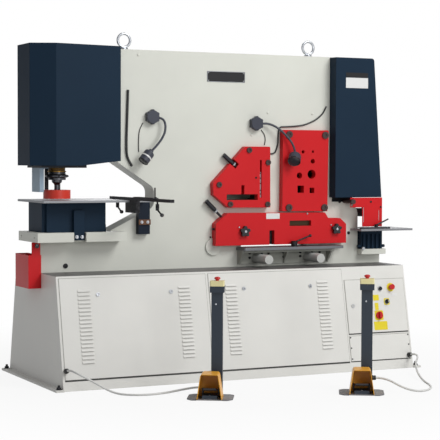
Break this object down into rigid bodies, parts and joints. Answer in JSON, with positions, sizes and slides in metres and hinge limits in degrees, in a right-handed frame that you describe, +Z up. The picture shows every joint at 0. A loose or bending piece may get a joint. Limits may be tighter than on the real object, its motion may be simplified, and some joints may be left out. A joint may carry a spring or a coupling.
{
  "type": "ironworker machine",
  "caption": "Floor-standing hydraulic ironworker with a punch station in a deep throat, an angle, section and flat shear beam, an end notcher and foot pedal stations on cords.",
  "frame": {"origin": "on the floor, in the middle of the four anchor holes in the base's end flanges", "axes": "+X along the machine from the punch end to the notcher end, +Y from the front to the back, +Z up"},
  "size_m": [2.985, 2.1379, 2.3919],
  "materials": {
    "base_paint": "fine texture paint",
    "frame_paint": "semi-gloss paint",
    "navy_paint": "semi-gloss paint",
    "dark_paint": "semi-gloss paint",
    "red_paint": "gloss paint",
    "ground_steel": "ground",
    "tool_steel": "machined",
    "chromed_steel": "polished",
    "black_steel": "black oxide",
    "black_plastic": "moulded",
    "yellow_paint": "gloss paint",
    "red_plastic": "moulded",
    "cord_cover": "ribbed sleeve"
  },
  "bodies": {
    "machine": {"base_cabinet": "base_paint", "front_panels": "base_paint", "frame_front_plate": "frame_paint", "frame_rear_plate": "frame_paint", "frame_web": "frame_paint", "bolster_plates": "frame_paint", "support_arms": "frame_paint", "punch_cover": "navy_paint", "shear_cover": "navy_paint", "die_block": "navy_paint", "table_brackets": "navy_paint", "notch_die": "navy_paint", "work_lamps": "navy_paint", "punch_cylinder": "dark_paint", "shear_cylinder": "dark_paint", "side_guard": "dark_paint", "pedal_stands": "dark_paint", "power_pack": "dark_paint", "angle_plate": "red_paint", "section_plate": "red_paint", "flat_plate": "red_paint", "slug_box": "red_paint", "stripper_ring": "red_paint", "punch_table": "ground_steel", "shear_table": "ground_steel", "notch_table": "ground_steel", "pivot_pin": "ground_steel", "punch_die": "tool_steel", "fixed_blades": "tool_steel", "lifting_eyes": "chromed_steel", "plate_bolts": "black_steel", "stop_rail": "black_steel", "lamp_wiring": "black_plastic", "cable_glands": "black_plastic", "station_housings": "yellow_paint", "left_cord": "cord_cover", "right_cord": "cord_cover"},
    "ram": {"punch_ram": "chromed_steel", "punch_and_nut": "tool_steel"},
    "beam": {"shear_beam": "dark_paint", "moving_blades": "tool_steel"},
    "rod": {"shear_rod": "chromed_steel"},
    "notch_ram": {"notch_punch": "tool_steel"},
    "guard": {"notch_guard": "red_paint"},
    "stop": {"stop_carriage": "black_steel"},
    "left_star": {"left_star_knob": "black_plastic"},
    "right_star": {"right_star_knob": "black_plastic"},
    "angle_screw": {"angle_hold_down": "black_steel"},
    "flat_screw": {"flat_hold_down": "black_steel"},
    "squaring": {"squaring_lever": "black_steel"},
    "clamp": {"fence_clamp": "black_steel"},
    "door": {"cabinet_door": "base_paint"},
    "switch": {"main_switch": "red_plastic"},
    "selector_knob": {"selector": "black_plastic"},
    "button": {"push_button": "black_plastic"},
    "door_estop": {"panel_estop": "red_plastic"},
    "left_stop_button": {"left_estop": "red_plastic"},
    "right_stop_button": {"right_estop": "red_plastic"},
    "left_tread": {"left_pedal": "black_plastic"},
    "right_tread": {"right_pedal": "black_plastic"}
  },
  "joints": [
    {"name": "punch_stroke", "type": "slide", "parent": "machine", "child": "ram", "axis": [0, 0, -1], "range_m": [0, 0.08]},
    {"name": "beam_swing", "type": "hinge", "parent": "machine", "child": "beam", "pos_m": [-0.045, 0, 0.889], "axis": [0, 1, 0], "range_deg": [0, 4]},
    {"name": "rod_stroke", "type": "slide", "parent": "machine", "child": "rod", "axis": [0, 0, -1], "range_m": [0, 0.0751]},
    {"name": "notch_stroke", "type": "slide", "parent": "machine", "child": "notch_ram", "axis": [0, 0, -1], "range_m": [0, 0.0941]},
    {"name": "guard_lift", "type": "slide", "parent": "machine", "child": "guard", "axis": [0, 0, 1], "range_m": [0, 0.025]},
    {"name": "stop_slide", "type": "slide", "parent": "machine", "child": "stop", "axis": [0, 1, 0], "range_m": [-0.25, 0.43]},
    {"name": "left_star_turn", "type": "hinge", "parent": "machine", "child": "left_star", "pos_m": [0.172, -0.16, 0.997], "axis": [0, -1, 0], "range_deg": [-180, 180]},
    {"name": "right_star_turn", "type": "hinge", "parent": "machine", "child": "right_star", "pos_m": [0.931, -0.16, 1.002], "axis": [0, -1, 0], "range_deg": [-180, 180]},
    {"name": "angle_screw_turn", "type": "hinge", "parent": "machine", "child": "angle_screw", "pos_m": [0.024, -0.107, 1.544], "axis": [0.7706, 0, -0.6374], "range_deg": [-180, 180]},
    {"name": "flat_screw_turn", "type": "hinge", "parent": "machine", "child": "flat_screw", "pos_m": [-0.112, -0.107, 1.217], "axis": [0.717, 0, -0.6971], "range_deg": [-180, 180]},
    {"name": "squaring_turn", "type": "hinge", "parent": "machine", "child": "squaring", "pos_m": [0.565, -0.178, 0.9], "axis": [0, 0, 1], "range_deg": [-110, 5]},
    {"name": "fence_clamp_turn", "type": "hinge", "parent": "machine", "child": "clamp", "pos_m": [1.243, -0.211, 1.02], "axis": [0, 0, 1], "range_deg": [-100, 0]},
    {"name": "door_hinge", "type": "hinge", "parent": "machine", "child": "door", "pos_m": [1.334, -0.47203, 0.45561], "axis": [0, 0.1987, 0.9801], "range_deg": [0, 110]},
    {"name": "main_switch_turn", "type": "hinge", "parent": "door", "child": "switch", "pos_m": [1.099, -0.49173, 0.38715], "axis": [0, 0.9801, -0.1987], "range_deg": [0, 90]},
    {"name": "selector_turn", "type": "hinge", "parent": "door", "child": "selector_knob", "pos_m": [1.175, -0.47226, 0.4832], "axis": [0, 0.9801, -0.1987], "range_deg": [-45, 45]},
    {"name": "button_press", "type": "slide", "parent": "door", "child": "button", "axis": [0, 0.9801, -0.1987], "range_m": [0, 0.005], "stiffness_N_per_m": 600, "springref_m": -0.004},
    {"name": "door_estop_press", "type": "slide", "parent": "door", "child": "door_estop", "axis": [0, 0.9801, -0.1987], "range_m": [0, 0.006], "stiffness_N_per_m": 1200, "springref_m": -0.004},
    {"name": "left_estop_press", "type": "slide", "parent": "machine", "child": "left_stop_button", "axis": [0, 0, -1], "range_m": [0, 0.006], "stiffness_N_per_m": 1600, "springref_m": -0.006},
    {"name": "right_estop_press", "type": "slide", "parent": "machine", "child": "right_stop_button", "axis": [0, 0, -1], "range_m": [0, 0.006], "stiffness_N_per_m": 1600, "springref_m": -0.006},
    {"name": "left_pedal_press", "type": "hinge", "parent": "machine", "child": "left_tread", "pos_m": [-0.583, -1.16507, 0.05], "axis": [0.866, -0.5, 0], "range_deg": [0, 12], "stiffness_Nm_per_rad": 6, "springref_deg": -17.19},
    {"name": "right_pedal_press", "type": "hinge", "parent": "machine", "child": "right_tread", "pos_m": [0.389, -1.40007, 0.05], "axis": [0.866, -0.5, 0], "range_deg": [0, 12], "stiffness_Nm_per_rad": 6, "springref_deg": -17.19}
  ],
  "couplings": [
    {"joint": "rod_stroke", "follows": "beam_swing", "m_per_rad": 1.0743},
    {"joint": "notch_stroke", "follows": "beam_swing", "m_per_rad": 1.3465}
  ]
}
